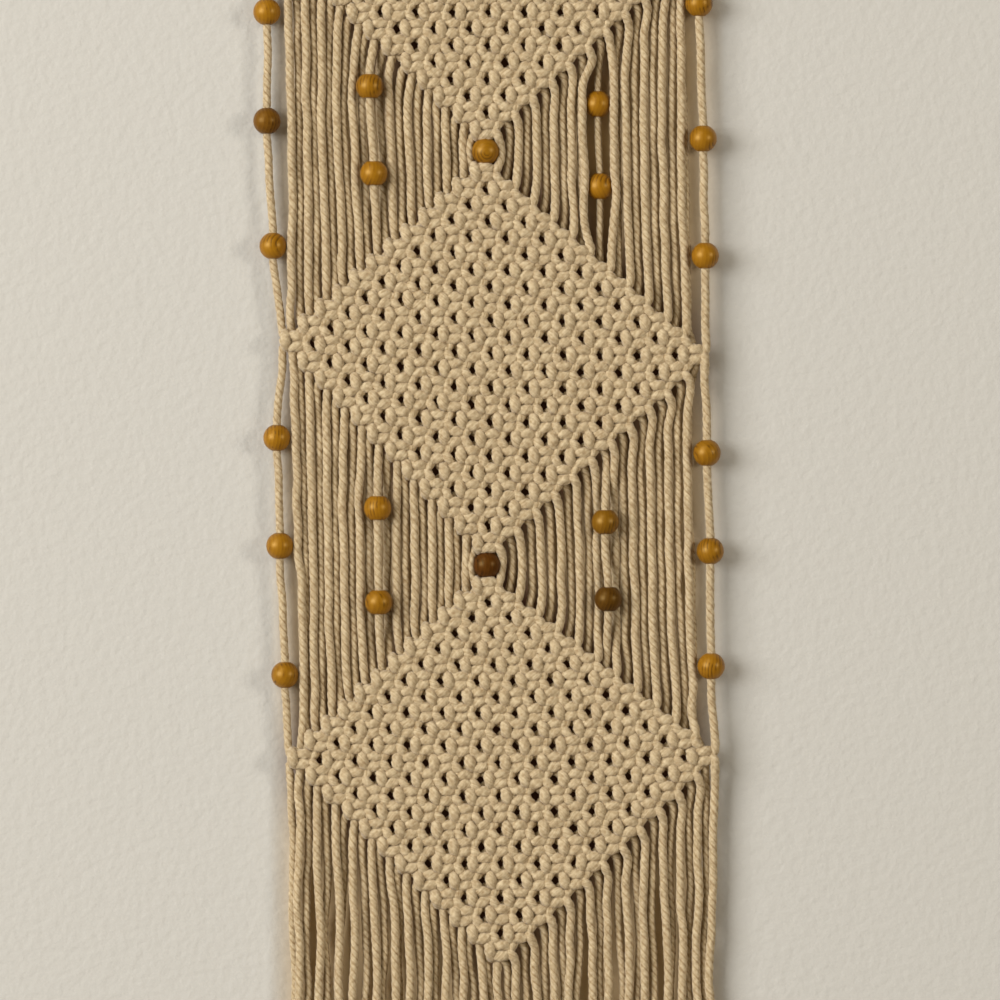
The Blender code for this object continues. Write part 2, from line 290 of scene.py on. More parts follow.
# %% Free runs
LAYER = 0.0010  # how far in front of the middle, or behind it, a bare cord hangs
FRINGE_LAYER = 0.0014
SPACING = 0.011  # from one point of a free run to the next
SWAY = 0.00024  # spread of its points
EVEN_GIRTH, ODD_GIRTH = 0.93, 0.97  # of the cords that lie behind and in front
BEAD_HOLD = 0.0070  # a cord runs straight this far above and below its bead's middle
PAIRED_HOLD = 0.0056
PAIRED_OFFSET = 0.0012  # how far two cords that share a bead lie from its middle
PAIRED_GIRTH = 0.60
APART_GIRTH = 0.80
FOLLOWING = 6  # how many cords away a bare cord still follows one with an inner bead
FOLLOWED = 0.028  # and how far above and below the bead
GATHER = 0.018  # how far the bare cords draw in, halfway down a bare stretch
RIGHTWARD = 0.0011  # how far those just right of the middle bow out again
FRINGE_SHIFT = 0.0020  # how far to the right the middle of the fringe hangs
FRINGE_LEAN = 0.0011
FRINGE_WAVE = 0.0006
WAVE_TURN = 1.1  # radians from one point of a fringe strand to the next
FRINGE_SWAY = 0.0002
HALF_WIDTH = 0.092


def lane(cord, net, row):
    """How far across a cord hangs where all of them are evenly spread."""
    return net_point(net, (cord - (CORDS - 1) / 2) / 2, row)[0]


def depth(cord, layer):
    return layer if cord % 2 == 0 else -layer


def bare_girth(cord):
    return EVEN_GIRTH if cord % 2 == 0 else ODD_GIRTH


def carries(cord, bead):
    return cord == bead.cord or (bead.setting == "paired" and cord == bead.cord + 1)


def make_room(cord, x, y, z):
    """Where a bare cord at (x, y, z) hangs once it has moved clear of other cords' beads."""
    for bead in BEADS:
        across, up = x - bead.x, z - bead.z
        if carries(cord, bead) or abs(up) >= EASE[bead.setting]:
            continue
        near = 1 - (up / EASE[bead.setting]) ** 2
        reach = REACH[bead.setting] * near**0.2
        if bead.setting == "proud" and math.hypot(across, y - bead.y) < reach:
            y = bead.y + math.sqrt(reach**2 - across**2)
        elif bead.setting != "proud" and abs(across) < reach:
            x = bead.x + math.copysign(reach, across)
            if bead.setting == "apart":
                y += (bead.y - math.sqrt(BESIDE**2 - REACH["apart"] ** 2) - y) * near
            elif bead.setting == "paired":
                y += (bead.y - y) * near
    return x, y


def drawn_aside(cord, x, z):
    """How far a bare cord follows an inner bead's cord that hangs out of its own lane."""
    pull, weights = 0, 1e-6
    for bead in BEADS:
        if bead.setting not in ("proud", "apart"):
            continue
        own_lane = x + (bead.cord - cord) * HALF_PITCH / 2
        cords_away, up = (cord - bead.cord) / FOLLOWING, (z - bead.z) / FOLLOWED
        near = math.exp(-(cords_away**2) - up**2)
        pull += near * (bead.x - own_lane)
        weights += near
    return pull / max(1, weights)


def free_run(cord, start, end, lanes):
    """Points of a bare cord from one knot down to the next, around the beads near it."""
    own = [bead for bead in BEADS if end[2] < bead.z < start[2] and carries(cord, bead)]
    pins = []
    for bead in own:
        x, girth, hold = bead.x, bare_girth(cord), BEAD_HOLD
        if bead.setting == "paired":
            x += PAIRED_OFFSET if cord > bead.cord else -PAIRED_OFFSET
            girth, hold = PAIRED_GIRTH, PAIRED_HOLD
        elif bead.setting == "apart":
            girth = APART_GIRTH
        for z in (bead.z + hold, bead.z, bead.z - hold):
            pins.append((x, bead.y, z, girth))
    held = [start] + pins + [end]
    heights = [-point[2] for point in held]
    steps = max(2, round((start[2] - end[2]) / SPACING))
    for step in range(1, steps):
        share = step / steps
        z = start[2] + (end[2] - start[2]) * share
        if any(abs(z - pin[2]) < SPACING / 2 for pin in pins[: 3 * len(own)]):
            continue
        sway = chance.normal(0, SWAY, 2)
        if own:
            x = np.interp(-z, heights, [point[0] for point in held])
            y = np.interp(-z, heights, [point[1] for point in held])
        else:
            bulge = math.sin(math.pi * share)
            x = (lanes[0] + (lanes[1] - lanes[0]) * share) * (1 - GATHER * bulge)
            if 0 < x < HALF_WIDTH / 2:
                x += RIGHTWARD * bulge**0.5 * math.sin(math.tau * x / HALF_WIDTH)
            x += drawn_aside(cord, x, z)
            x, y = make_room(cord, x, depth(cord, LAYER), z)
        apart = any(bead.setting == "apart" for bead in own)
        girth = APART_GIRTH if apart else bare_girth(cord)
        pins.append((x + sway[0], y + sway[1], z, girth))
    return sorted(pins, key=lambda pin: -pin[2])


def fringe(cord, start, top):
    """Points of a fringe strand from its last knot down to its cut end."""
    steps = round((start[2] - FRINGE_END) / SPACING)
    lean = chance.normal(0, FRINGE_LEAN)
    phase = chance.uniform(0, math.tau)
    shift = FRINGE_SHIFT * max(0, 1 - (top / HALF_WIDTH) ** 2)
    points = []
    for step in range(1, steps + 1):
        share = step / steps
        wave = FRINGE_WAVE * math.sin(phase + step * WAVE_TURN) * min(1, step / 3)
        sway = chance.normal(0, FRINGE_SWAY, 2)
        shifted = top + shift * min(1, step / 2)
        x = shifted + lean * math.sin(math.pi * share) + wave + sway[0]
        y = depth(cord, LAYER + (FRINGE_LAYER - LAYER) * min(1, step / 3)) + sway[1]
        z = start[2] + (FRINGE_END - start[2]) * share
        points.append((x, y, z, bare_girth(cord)))
    return points


# %% [markdown]
# ## The heading
#
# At the top each length of cord is folded in half and hitched over a holding cord: the
# two ends come up in front of the holding cord, go over it and down behind, and the
# fold lies across both of them in front. That is a lark's head. It makes one neat
# ridge per cord, and it is the usual way to start a hanging.

# %% Hitches over the holding cord
BAR_HEIGHT = -0.0062
FOLD_WIDTH = 0.98
LARKS_HEAD = (
    Via(0.0, -3.9, 4.6, 1.00),
    Via(1.7, -3.4, 3.6, 0.98),
    Via(2.6, -3.0, 0.2, 0.96),
    Via(2.2, -0.6, -3.6, 0.98),
    Via(2.0, 3.0, -2.6, 0.98),
    Via(2.0, 4.1, 0.0, 1.00),
    Via(2.0, 2.8, 3.0, 1.00),
    Via(1.9, -0.4, 3.6, 0.98),
    Via(1.8, -4.0, 1.6, 0.92),
    Via(1.9, -8.0, 0.0, 0.93),
)


def hitch(cord, x):
    """Points of one half of a folded cord, from its fold down towards its first knot."""
    side = -1 if cord % 2 == 0 else 1
    middle = x - side * HALF_PITCH / 4
    return [
        (
            middle + side * via.across / 1000 * FOLD_WIDTH,
            -via.out / 1000,
            BAR_HEIGHT + via.up / 1000,
            via.girth,
        )
        for via in LARKS_HEAD
    ]


# %% [markdown]
# ## Routing each cord
#
# In a net of alternating square knots, a cord never leaves its place in the row. It is
# a working cord in one knot and a filler in the next. So the cord's number and the
# knot's place give its part in the knot, and a cord's whole route is a walk down the
# nets.

# %% Cord routes
def role_in(cord, across):
    """A cord's part in a knot so many steps across, or None if it misses the knot."""
    part = cord - 2 * (LAST + across)
    return "ABCD"[part] if 0 <= part < 4 else None


def route(cord):
    """A hanging cord's points, from its fold down to its cut end."""
    points, lanes = [], []
    for net in NETS:
        knots = [knot for knot in knots_of(net) if role_in(cord, knot[0])]
        inside = []
        for knot in knots:
            role = role_in(cord, knot[0])
            inside += knotted(net, knot, role, knot == knots[0], knot == knots[-1])
        lanes.append(lane(cord, net, knots[0][1]))
        if points:
            points += free_run(cord, points[-1], inside[0], lanes[-2:])
        else:
            points += hitch(cord, lanes[0])
        points += inside
        lanes.append(lane(cord, net, knots[-1][1]))
    return points + fringe(cord, points[-1], lanes[-1])


routes = [route(cord) for cord in range(CORDS)]
print("points of the first cord:", len(routes[0]))

# %% [markdown]
# ## From points to twisted cord
#
# A cord is soft, so a smooth curve through its points is right. Three-ply cord is
# three strands laid round each other. A round tube with a bump map would lose that
# outline, so the curve is bevelled with a small three-lobed profile, and the tilt of
# its points turns the profile once every 10.7 mm, a little unevenly. The lobes then wind
# down the cord as the strands do.

# %% Smooth the routes
STEP = 0.0014  # between two rings of a cord
LAY = 0.0107  # length in which the strands wind once round
SPAN = 12  # fine points between two points of a route


def smooth(points, step):
    """Samples a Catmull-Rom curve through the points at an even distance."""
    knots = np.array(points)
    knots = np.vstack([2 * knots[0] - knots[1], knots, 2 * knots[-1] - knots[-2]])
    fine = []
    for p0, p1, p2, p3 in zip(knots, knots[1:], knots[2:], knots[3:]):
        pairs = ((p0, p1), (p1, p2), (p2, p3))
        gaps = [max(math.dist(a[:3], b[:3]), 1e-5) ** 0.5 for a, b in pairs]
        into = ((p1 - p0) / gaps[0] - (p2 - p0) / (gaps[0] + gaps[1])) * gaps[1] + (p2 - p1)
        out = ((p3 - p2) / gaps[2] - (p3 - p1) / (gaps[1] + gaps[2])) * gaps[1] + (p2 - p1)
        for t in np.linspace(0, 1, SPAN, endpoint=False):
            t2, t3 = t * t, t * t * t
            fine.append(
                (2 * t3 - 3 * t2 + 1) * p1
                + (t3 - 2 * t2 + t) * into
                + (3 * t2 - 2 * t3) * p2
                + (t3 - t2) * out
            )
    fine.append(knots[-2])
    fine = np.array(fine)
    lengths = np.linalg.norm(np.diff(fine[:, :3], axis=0), axis=1)
    along = np.concatenate([[0], np.cumsum(lengths)])
    stops = np.linspace(0, along[-1], round(along[-1] / step) + 1)
    return np.column_stack([np.interp(stops, along, column) for column in fine.T]), stops


smoothed = [smooth(points, STEP) for points in routes]
total = sum(stops[-1] for _, stops in smoothed)
print(f"cord: {total:.2f} m in {CORDS} hanging lengths, {CORDS // 2} before folding")

# %% The three-lobed profile
PLIES = 3
LOBE_TURNS = (0, 0.30, 0.70)  # where a lobe's corners lie, as shares of the lobe
LOBE_RADII = (0.85, 1.0, 1.0)  # the first of them lies in a groove
CORNERS = len(LOBE_TURNS)
AROUND = PLIES * CORNERS
UNEVEN_TURN = 0.7  # how far the twist runs ahead and lags behind, in radians
UNEVEN_LENGTH = 0.011


def strand_profile():
    """A closed outline of radius 1: three lobes with a groove between each two."""
    curve = bpy.data.curves.new("strand_profile", "CURVE")
    curve.dimensions = "2D"
    line = curve.splines.new("POLY")
    line.points.add(AROUND - 1)
    line.use_cyclic_u = True
    for corner, point in enumerate(line.points):
        lobe, part = divmod(corner, CORNERS)
        angle = math.tau / PLIES * (lobe + LOBE_TURNS[part])
        radius = LOBE_RADII[part] * CORD / 2
        point.co = (radius * math.cos(angle), radius * math.sin(angle), 0, 1)
    made = bpy.data.objects.new("strand_profile", curve)
    bpy.context.scene.collection.objects.link(made)
    return made


profile = strand_profile()


def twisted_cord(name, lengths):
    """One mesh that holds several cords, each a bevelled curve with wound strands."""
    curve = bpy.data.curves.new(name, "CURVE")
    curve.dimensions = "3D"
    curve.bevel_mode = "OBJECT"
    curve.bevel_object = profile
    curve.use_fill_caps = False
    curve.twist_mode = "MINIMUM"
    for samples, stops in lengths:
        line = curve.splines.new("POLY")
        line.points.add(len(samples) - 1)
        places = np.column_stack([samples[:, :3], np.ones(len(samples))])
        line.points.foreach_set("co", places.ravel())
        line.points.foreach_set("radius", samples[:, 3].copy())
        phase = stops[-1] * 90  # another one for each cord
        uneven = UNEVEN_TURN * np.sin(stops / UNEVEN_LENGTH + phase)
        line.points.foreach_set("tilt", uneven - math.tau * stops / LAY)
    guide = bpy.data.objects.new(name + "_guide", curve)
    bpy.context.scene.collection.objects.link(guide)
    bpy.context.view_layer.update()
    depsgraph = bpy.context.evaluated_depsgraph_get()
    mesh = bpy.data.meshes.new_from_object(guide.evaluated_get(depsgraph))
    bpy.data.objects.remove(guide)
    bpy.data.curves.remove(curve)
    mesh.name = name
    piece = bpy.data.objects.new(name, mesh)
    bpy.context.scene.collection.objects.link(piece)
    return piece


# %% [markdown]
# Each corner of the mesh stores its fibre place, which is where it lies round the cord
# and along it. It also stores its crown: 0 in a groove between two strands and 1 on top
# of one, which sets how much shade is painted there. Where a knot squeezes the cord, the
# grooves flatten and less shade is painted.

# %% Fibre coordinates
FIBRES_ROUND = 2.0  # units of the fibre pattern over the cord's radius
FIBRES_ALONG = 60  # and along a metre of cord
FIBRES_APART = 37  # and from one cord to the next
SQUEEZED_GIRTH = 0.96  # from this girth on a cord is squeezed, fully so 0.1 further on
# a squeezed cord's grooves get at least this crown, so less painted shade
FLAT_CROWN = 0.4


def mark_fibres(piece, lengths):
    """Stores where each corner of the mesh lies in the cord's own strands."""
    lobe, part = np.divmod(np.arange(AROUND), CORNERS)
    angle = math.tau / PLIES * (lobe + np.array(LOBE_TURNS)[part])
    ring = np.column_stack([np.cos(angle), np.sin(angle)])
    fibres, crowns = [], []
    for number, (samples, stops) in enumerate(lengths):
        rings = len(samples)
        place = np.empty((rings, AROUND, 3))
        place[:, :, :2] = ring * FIBRES_ROUND
        place[:, :, 2] = stops[:, None] * FIBRES_ALONG + number * FIBRES_APART
        fibres.append(place.reshape(-1, 3))
        squeezed = np.clip((samples[:, 3:] - SQUEEZED_GIRTH) / 0.1, 0, 1)
        on_top = np.where(part == 0, 0.0, 1.0)
        crowns.append(np.maximum(on_top, FLAT_CROWN * squeezed).ravel())
    fibres, crowns = np.concatenate(fibres), np.concatenate(crowns)
    if len(fibres) != len(piece.data.vertices):
        print(piece.name, "has", len(piece.data.vertices), "corners and not", len(fibres))
        return
    fibre = piece.data.attributes.new("fibre", "FLOAT_VECTOR", "POINT")
    fibre.data.foreach_set("vector", fibres.ravel())
    crown = piece.data.attributes.new("crown", "FLOAT", "POINT")
    crown.data.foreach_set("value", crowns)


def close_ends(piece):
    """Covers the two open ends of each cord."""
    bm = bmesh.new()
    bm.from_mesh(piece.data)
    rims = [edge for edge in bm.edges if edge.is_boundary]
    bmesh.ops.holes_fill(bm, edges=rims, sides=AROUND)
    bmesh.ops.recalc_face_normals(bm, faces=list(bm.faces))
    left_open = sum(edge.is_boundary for edge in bm.edges)
    bm.to_mesh(piece.data)
    bm.free()
    if left_open:
        print(piece.name, "has", left_open, "open edges")


# %% [markdown]
# ## Materials from nodes
#
# Every material is worked out from nodes, so its detail has the right scale wherever it
# lies. The helpers add a node, set its own numbers and plug other nodes into it.

# %% Node helpers
def plug(material, node, inputs):
    """Sets each input of a node to a number or colour, or links an output to it."""
    for key, value in inputs.items():
        if isinstance(value, bpy.types.NodeSocket):
            material.node_tree.links.new(value, node.inputs[key])
        else:
            node.inputs[key].default_value = value


def new_material(name, inputs):
    material = bpy.data.materials.new(name)
    material.use_nodes = True
    shader = material.node_tree.nodes["Principled BSDF"]
    plug(material, shader, inputs)
    return material, shader


def add_node(material, kind, inputs, **settings):
    node = material.node_tree.nodes.new("ShaderNode" + kind)
    for key, value in settings.items():
        setattr(node, key, value)
    plug(material, node, inputs)
    return node


def add_ramp(material, factor, *stops):
    """Adds a colour ramp of (position, colour) stops, and returns its colour."""
    node = add_node(material, "ValToRGB", {"Fac": factor})
    elements = node.color_ramp.elements
    elements[0].position, elements[1].position = stops[0][0], stops[-1][0]
    for position, _ in stops[1:-1]:
        elements.new(position)
    for element, (_, colour) in zip(elements, stops):
        element.color = (*colour, 1)
    return node.outputs["Color"]


# %% [markdown]
# ## Cotton
#
# Unbleached cotton is a warm cream with fine fibres that follow the twist, and shade is
# painted into the grooves between the strands. The fibre pattern reads the coordinates
# stored on the mesh, so it winds with the strands. A little sheen gives the soft edge of
# cotton.

# %% The cotton material
DARK_FIBRES, LIGHT_FIBRES = (0.30, 0.203, 0.10), (0.60, 0.487, 0.31)
# painted shade in the grooves between the strands
PAINTED_GROOVE_SHADE = (0.66, 0.57, 0.44)


def cotton():
    finish = {
        "Roughness": 0.95,
        "Specular IOR Level": 0.2,
        "Sheen Weight": 0.2,
        "Sheen Roughness": 0.5,
    }
    material, shader = new_material("cotton", finish)
    fibre = add_node(material, "Attribute", {}, attribute_name="fibre").outputs["Vector"]
    place = add_node(material, "TexCoord", {}).outputs["Object"]
    streaks = add_node(
        material, "TexNoise", {"Vector": fibre, "Scale": 3.2, "Detail": 3, "Roughness": 0.65}
    )
    fuzz = add_node(material, "TexNoise", {"Vector": place, "Scale": 620, "Detail": 1})
    mix = add_node(
        material,
        "Mix",
        {"Factor": 0.45, "A": streaks.outputs["Fac"], "B": fuzz.outputs["Fac"]},
    ).outputs["Result"]
    shades = add_ramp(material, mix, (0.32, DARK_FIBRES), (0.62, LIGHT_FIBRES))

    # the crown sets how much shade is painted between the strands
    crown = add_node(material, "Attribute", {}, attribute_name="crown").outputs["Fac"]
    painted_groove_ramp = add_ramp(material, crown, (0, PAINTED_GROOVE_SHADE), (0.6, (1, 1, 1)))
    groove = add_node(
        material,
        "Mix",
        {"Factor": 1, "A": shades, "B": painted_groove_ramp},
        data_type="RGBA",
        blend_type="MULTIPLY",
    )
    relief = add_node(
        material, "Bump", {"Strength": 0.9, "Distance": 0.0006, "Height": mix}
    )
    plug(
        material,
        shader,
        {"Base Color": groove.outputs["Result"], "Normal": relief.outputs["Normal"]},
    )
    return material


cotton_cord = cotton()
print("material:", cotton_cord.name)

# %% [markdown]
# The cords go into several pieces, because one mesh for all of them would be too
# heavy to handle. Each piece stands for the same node of the frame.

# %% Build the cords
CORDS_A_PIECE = 8


def dress(piece, lengths):
    """Gives a piece of cord its fibres, ends and cotton, and its place in the frame."""
    mark_fibres(piece, lengths)
    close_ends(piece)
    piece.data.materials.clear()
    piece.data.materials.append(cotton_cord)
    piece.data.shade_smooth()
    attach(piece, "root")
    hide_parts("macrame")
    piece.data.calc_loop_triangles()
    print(piece.name, len(piece.data.loop_triangles), "triangles")


for first in range(0, CORDS, CORDS_A_PIECE):
    group = smoothed[first : first + CORDS_A_PIECE]
    piece = twisted_cord(f"cords_{first + 1}_to_{first + CORDS_A_PIECE}", group)
    dress(piece, group)

# %% The holding cord
HOLDING_GIRTH = 0.95
HOLDING_SAG = ((-0.0985, 0), (-0.05, 0.0002), (0, 0), (0.05, 0.0001), (0.0985, 0))
bar = [(x, 0.0, BAR_HEIGHT - sag, HOLDING_GIRTH) for x, sag in HOLDING_SAG]
bar_length = [smooth(bar, STEP)]
dress(twisted_cord("holding_cord", bar_length), bar_length)
bpy.data.objects.remove(profile)

# %% [markdown]
# ## Turned beads
#
# A wooden bead is turned round its bore: a ball with a hole whose mouth is rounded by
# the tumbling barrel. Spinning half of its section gives just that.

# %% One bead
BORE = 0.0018
PAIRED_BORE = 0.0024
MOUTH_ROUND = {"outer": 0.0003, "apart": 0.0003, "proud": 0.0012, "paired": 0.0003}
LIP = 0.0001
ARC_STEPS = 20
SPIN_STEPS = 40


def turned_bead(bead):
    bore = PAIRED_BORE if bead.setting == "paired" else BORE
    mouth = math.acos((bore + MOUTH_ROUND[bead.setting]) / BEAD_RADIUS)
    section = []
    for step in range(ARC_STEPS + 1):
        angle = mouth * (1 - 2 * step / ARC_STEPS)
        section.append((BEAD_RADIUS * math.cos(angle), 0, BEAD_RADIUS * math.sin(angle)))
    top = section[0][2]
    lip = [(bore + LIP, 0, top - LIP), (bore, 0, top - 4 * LIP)]
    section += [(x, y, -z) for x, y, z in lip] + lip[::-1]

    bm = bmesh.new()
    corners = [bm.verts.new(place) for place in section]
    edges = [bm.edges.new(pair) for pair in zip(corners, corners[1:] + corners[:1])]
    bmesh.ops.spin(
        bm,
        geom=edges,
        cent=(0, 0, 0),
        axis=(0, 0, 1),
        angle=math.tau,
        steps=SPIN_STEPS,
        use_merge=True,
    )
    bmesh.ops.recalc_face_normals(bm, faces=list(bm.faces))
    mesh = bpy.data.meshes.new(bead.name + "_turned")
    bm.to_mesh(mesh)
    bm.free()
    mesh.shade_smooth()
    piece = bpy.data.objects.new(mesh.name, mesh)
    bpy.context.scene.collection.objects.link(piece)
    return piece


# %% [markdown]
# ## Wood grain
#
# Each bead was turned from another place in a plank, so its rings run another way. Most
# show the side of the grain: upright bands, a little bent. One shows the end of it. So
# each corner of a bead stores where it lay in the plank, measured from the heart of the
# tree, and the rings are drawn round that heart.

# %% Where each bead lay in its plank
END_GRAIN = "bead_middle_1"
END_TILT = math.radians(84)
END_HEART = (0.0005, 0.0006, 0)
GRAIN_LEAN = 0.16  # spread of the turn of the other beads, in radians
HEART_ASIDE = (0.004, 0.014)  # how far from the bead's middle the tree's heart may be
HEART_AHEAD = (-0.004, 0.002)
TONE = (0.75, 0.87)  # how light a bead's wood may be
TONES = {"bead_inner_right_3": 0.53, "bead_inner_right_4": 0.45, "bead_left_2": 0.80}


def mark_grain(piece, bead):
    """Stores a bead's place in its plank and its tone, and moves it to its place."""
    if bead.name == END_GRAIN:
        turn, heart = Matrix.Rotation(END_TILT, 3, "X"), Vector(END_HEART)
    else:
        lean, roll = chance.normal(0, GRAIN_LEAN, 2)
        turn = Matrix.Rotation(lean, 3, "Y") @ Matrix.Rotation(roll, 3, "X")
        side = chance.choice((-1, 1))
        aside = side * chance.uniform(*HEART_ASIDE)
        heart = Vector((aside, chance.uniform(*HEART_AHEAD), 0))
    grain = piece.data.attributes.new("grain", "FLOAT_VECTOR", "POINT")
    for corner, stored in zip(piece.data.vertices, grain.data):
        stored.vector = turn @ corner.co - heart
    tone = piece.data.attributes.new("tone", "FLOAT", "POINT")
    shade = TONES.get(bead.name, chance.uniform(*TONE))
    tone.data.foreach_set("value", [shade] * len(piece.data.vertices))
    piece.data.transform(Matrix.Translation((bead.x, bead.y, bead.z)))


# %% The wood materials
AMBER = (1.0, 0.66, 0.20, 1)  # the wax is amber, so the bright spots are too
PORES_LONG = (1, 1, 0.12)


def wood(name, shine, early, late, line):
    """Wood with broad early rings, a darker late edge to each and fine upright pores."""
    finish = {
        "Roughness": 0.4,
        "Specular IOR Level": shine,
        "Specular Tint": AMBER,
        "Coat Weight": 0.03,
        "Coat Roughness": 0.25,
    }
    material, shader = new_material(name, finish)
    grain = add_node(material, "Attribute", {}, attribute_name="grain").outputs["Vector"]
    rings = add_node(
        material,
        "TexWave",
        {"Vector": grain, "Scale": 215, "Distortion": 2.2, "Detail": 2, "Detail Scale": 0.8},
        wave_type="RINGS",
        rings_direction="Z",
        wave_profile="SAW",
    )
    faint = add_node(material, "TexNoise", {"Vector": grain, "Scale": 170}).outputs["Fac"]
    fade = add_node(
        material,
        "MapRange",
        {"Value": faint, "From Min": 0.44, "From Max": 0.60, "To Min": 0.35},
    )
    drawn = add_node(
        material,
        "Math",
        {0: rings.outputs["Fac"], 1: fade.outputs["Result"]},
        operation="MULTIPLY",
    )
    upright = add_node(material, "Mapping", {"Vector": grain, "Scale": PORES_LONG})
    pores = add_node(
        material,
        "TexNoise",
        {"Vector": upright.outputs["Vector"], "Scale": 1500, "Detail": 3},
    )
    mix = add_node(
        material,
        "Math",
        {0: pores.outputs["Fac"], 1: 0.35, 2: drawn.outputs[0]},
        operation="MULTIPLY_ADD",
    ).outputs[0]
    shades = add_ramp(material, mix, (0.1, early), (0.82, late), (1.0, line))
    tone = add_node(material, "Attribute", {}, attribute_name="tone").outputs["Fac"]
    toned = add_node(material, "VectorMath", {0: shades, "Scale": tone}, operation="SCALE")
    relief = add_node(
        material, "Bump", {"Strength": 0.2, "Distance": 0.0001, "Height": mix}
    )
    plug(
        material,
        shader,
        {"Base Color": toned.outputs["Vector"], "Normal": relief.outputs["Normal"]},
    )
    return material


WOODS = {
    "honey": wood(
        "honey_wood",
        shine=0.70,
        early=(0.35, 0.156, 0.006),
        late=(0.25, 0.102, 0.003),
        line=(0.12, 0.045, 0.002),
    ),
    "brown": wood(
        "brown_wood",
        shine=0.35,
        early=(0.19, 0.080, 0.007),
        late=(0.12, 0.046, 0.004),
        line=(0.06, 0.020, 0.002),
    ),
    "dark": wood(
        "dark_wood",
        shine=0.30,
        early=(0.10, 0.032, 0.003),
        late=(0.06, 0.018, 0.002),
        line=(0.03, 0.008, 0.001),
    ),
}

# %% Turn the beads
for bead in BEADS:
    piece = turned_bead(bead)
    mark_grain(piece, bead)
    piece.data.materials.append(WOODS[bead.wood])
    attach(piece, "root")
    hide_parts(bead.name)
print("turned", len(BEADS), "beads")

# %% [markdown]
# ## The studio
#
# The hanging is photographed on a pale wall, lit from the left. The wall is only a
# backdrop, and its far side is made see-through, so that the hanging's back can be
# looked at too.

# %% [markdown]
# Most light that reaches the wall close behind the hanging has met a cord first, so a
# shade the colour of the cotton is painted on the wall there. Hardly any comes through a
# net, so the painted shadow is nearly black behind the nets and lighter away from them.

# %% How far a point of the wall is from the hanging
BEHIND_MIDDLE = (0.003, 0, -0.289)
BEHIND_HALF = (0.084, 0, 0.275)
FAR = 9  # more than any point near the hanging measures


def vector_math(material, operation, *values):
    """A vector node's result for its values, in their order."""
    node = add_node(material, "VectorMath", dict(enumerate(values)), operation=operation)
    return node.outputs["Value" if operation == "DOT_PRODUCT" else "Vector"]


def outside_hanging(material, place):
    """How far a point of the wall lies outside the box behind the hanging, in metres."""
    from_middle = vector_math(material, "SUBTRACT", place, BEHIND_MIDDLE)
    folded = vector_math(material, "ABSOLUTE", from_middle)
    beyond = vector_math(material, "SUBTRACT", folded, BEHIND_HALF)
    axes = add_node(material, "SeparateXYZ", {"Vector": beyond}).outputs
    farther = add_node(material, "Math", {0: axes["X"], 1: axes["Z"]}, operation="MAXIMUM")
    return farther.outputs[0]


def outside_nets(material, place):
    """How far a point lies from the nearest net's middle, with 1 at the net's edge."""
    nearest = FAR
    for net in NETS:
        middle_x, middle_z = net_point(net, 0, LAST)
        width, height = net.right[0] - net.left[0], net.top[1] - net.bottom[1]
        from_middle = vector_math(material, "SUBTRACT", place, (middle_x, 0, middle_z))
        folded = vector_math(material, "ABSOLUTE", from_middle)
        share = vector_math(material, "DOT_PRODUCT", folded, (2 / width, 0, 2 / height))
        nearer = add_node(material, "Math", {0: share, 1: nearest}, operation="MINIMUM")
        nearest = nearer.outputs[0]
    return nearest


# %% Paint, and painted shade behind the hanging
PAINT = (0.484, 0.472, 0.438)
# painted shade on the wall behind the bare cords, coloured like light off the cotton
PAINTED_SHADE_BEHIND_CORDS = (0.475, 0.36, 0.21)
# painted shadow on the wall behind a net
PAINTED_SHADOW_BEHIND_NETS = (0.10, 0.04, 0.02)
FLOOR_PAINT = (0.36, 0.32, 0.26)
MATT = 0.95


def wall_paint_and_shade():
    """Rolled paint on plaster with shade painted behind the hanging: fine pebbles, and clear
    from behind.
    """
    material, shader = new_material("wall_paint_and_shade", {"Roughness": MATT})
    place = add_node(material, "TexCoord", {}).outputs["Object"]
    inside = {"Value": outside_nets(material, place), "From Min": 1.0, "From Max": 1.5}
    edge = add_node(material, "MapRange", inside).outputs["Result"]
    # painted shadow behind the nets, lighter between and away from them
    dim = add_ramp(material, edge, (0, PAINTED_SHADOW_BEHIND_NETS), (1, PAINTED_SHADE_BEHIND_CORDS))
    outside = {"Value": outside_hanging(material, place), "From Max": 0.016}
    reach = add_node(material, "MapRange", outside).outputs["Result"]
    # beyond the hanging the painted shade gives way to the plain paint
    shade = add_node(
        material, "Mix", {"Factor": reach, "A": dim, "B": (*PAINT, 1)}, data_type="RGBA"
    )
    pebbles = add_node(material, "TexNoise", {"Vector": place, "Scale": 260, "Detail": 2})
    relief = add_node(
        material,
        "Bump",
        {"Strength": 0.6, "Distance": 0.0008, "Height": pebbles.outputs["Fac"]},
    )
    plug(
        material,
        shader,
        {"Base Color": shade.outputs["Result"], "Normal": relief.outputs["Normal"]},
    )

    side = add_node(material, "NewGeometry", {}).outputs["Backfacing"]
    clear = add_node(material, "BsdfTransparent", {}).outputs["BSDF"]
    choose = add_node(
        material, "MixShader", {"Fac": side, 1: shader.outputs["BSDF"], 2: clear}
    )
    output = material.node_tree.nodes["Material Output"]
    plug(material, output, {"Surface": choose.outputs["Shader"]})
    return material


# %% Wall and floor
WALL = 0.0064  # how far behind the hanging's middle the wall stands
WALL_MIDDLE, WALL_HALF = 0.4, 2.0
FLOOR_LEVEL, FLOOR_HALF = -1.6, 3.0


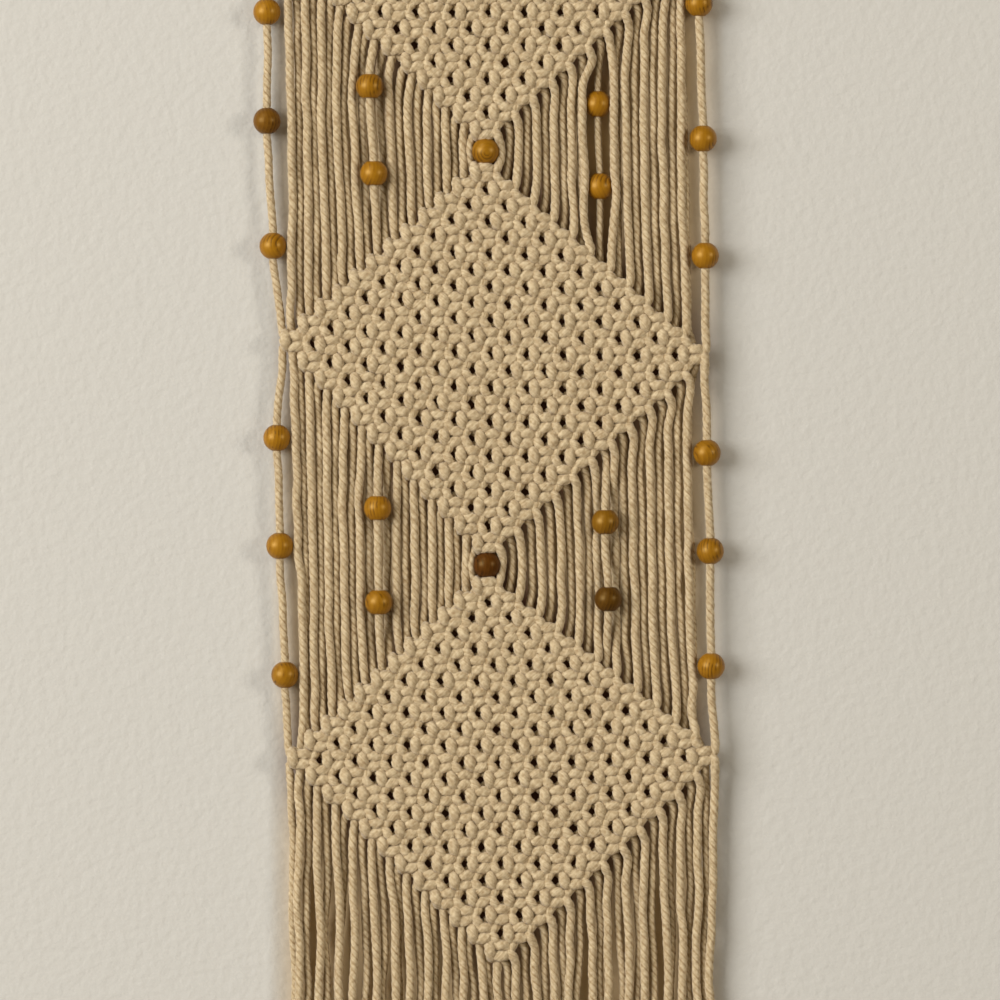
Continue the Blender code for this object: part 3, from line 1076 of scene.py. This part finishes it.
def sheet(name, size, material, turn, place):
    """A flat square for the set."""
    bm = bmesh.new()
    bmesh.ops.create_grid(bm, x_segments=1, y_segments=1, size=size)
    bmesh.ops.rotate(bm, verts=list(bm.verts), matrix=Matrix.Rotation(turn, 3, "X"))
    bmesh.ops.translate(bm, verts=list(bm.verts), vec=place)
    mesh = bpy.data.meshes.new(name)
    bm.to_mesh(mesh)
    bm.free()
    mesh.materials.append(material)
    made = bpy.data.objects.new(name, mesh)
    bpy.context.scene.collection.objects.link(made)
    made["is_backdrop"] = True


floor_paint, _ = new_material(
    "floor_paint", {"Base Color": (*FLOOR_PAINT, 1), "Roughness": MATT}
)
sheet("backdrop", WALL_HALF, wall_paint_and_shade(), math.pi / 2, (0, WALL, WALL_MIDDLE))
sheet("floor", FLOOR_HALF, floor_paint, 0, (0, 0, FLOOR_LEVEL))
print("set: backdrop and floor")

# %% [markdown]
# Two windows light the room: a big one on the left and a weaker one on the right, both
# level with the hanging, which is why each bead shows two soft bright spots. A lamp
# straight behind shines on the hanging alone, for views of its back. Multiple
# importance sampling is off, because with such a lamp in the scene it made the front of
# the hanging too bright.

# %% Light
LIT = Vector((0, 0, -0.3))  # what every lamp is turned to


def area_light(name, place, size, power, colour):
    lamp = bpy.data.lights.new(name, "AREA")
    lamp.shape = "RECTANGLE"
    lamp.size, lamp.size_y = size
    lamp.energy = power
    lamp.color = colour
    lamp.cycles.use_multiple_importance_sampling = False
    made = bpy.data.objects.new(name, lamp)
    made.location = place
    aim = LIT - made.location
    made.rotation_euler = aim.to_track_quat("-Z", "Y").to_euler()
    bpy.context.scene.collection.objects.link(made)
    return made


area_light("left_window", (-3.0, -2.7, 0.4), (2.6, 2.0), 197, (1.0, 0.99, 0.975))
area_light("right_window", (2.8, -2.4, 0.3), (0.9, 0.9), 52, (1.0, 0.95, 0.86))
area_light("room", (-1.6, -2.0, 2.2), (2.0, 2.0), 40, (1.0, 0.93, 0.82))
behind = area_light("behind", (0.5, 6.0, 0.4), (0.5, 0.5), 100, (1.0, 0.98, 0.95))
behind.visible_glossy = False

hanging = bpy.data.collections.new("hanging")
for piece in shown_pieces():
    hanging.objects.link(piece)
behind.light_linking.receiver_collection = hanging
behind.light_linking.blocker_collection = hanging

world = bpy.data.worlds.new("studio")
world.use_nodes = True
ambient = world.node_tree.nodes["Background"].inputs
ambient["Color"].default_value = (1.0, 0.80, 0.54, 1)
ambient["Strength"].default_value = 0.09
bpy.context.scene.world = world
bpy.context.scene.view_settings.view_transform = "Standard"

# %% Camera
PICTURE = 0.438  # width of what the picture shows
MIDDLE = (0.0044, -0.2661)
DISTANCE = 2.6
SENSOR = 36
camera_data = bpy.data.cameras.new("camera")
camera_data.sensor_width = SENSOR
camera_data.lens = SENSOR * DISTANCE / PICTURE
camera = bpy.data.objects.new("camera", camera_data)
camera.location = (MIDDLE[0], -DISTANCE, MIDDLE[1])
camera.rotation_euler = (math.radians(90), 0, 0)
bpy.context.scene.collection.objects.link(camera)
bpy.context.scene.camera = camera
print("camera:", round(camera_data.lens), "mm lens at", DISTANCE, "m")

# %% Print the sizes of the frame and of what is made
made_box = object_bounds()
for name, box in (("frame", cad_box), ("made", made_box)):
    print(name, [round(1000 * (high - low), 1) for low, high in zip(*box)], "mm")
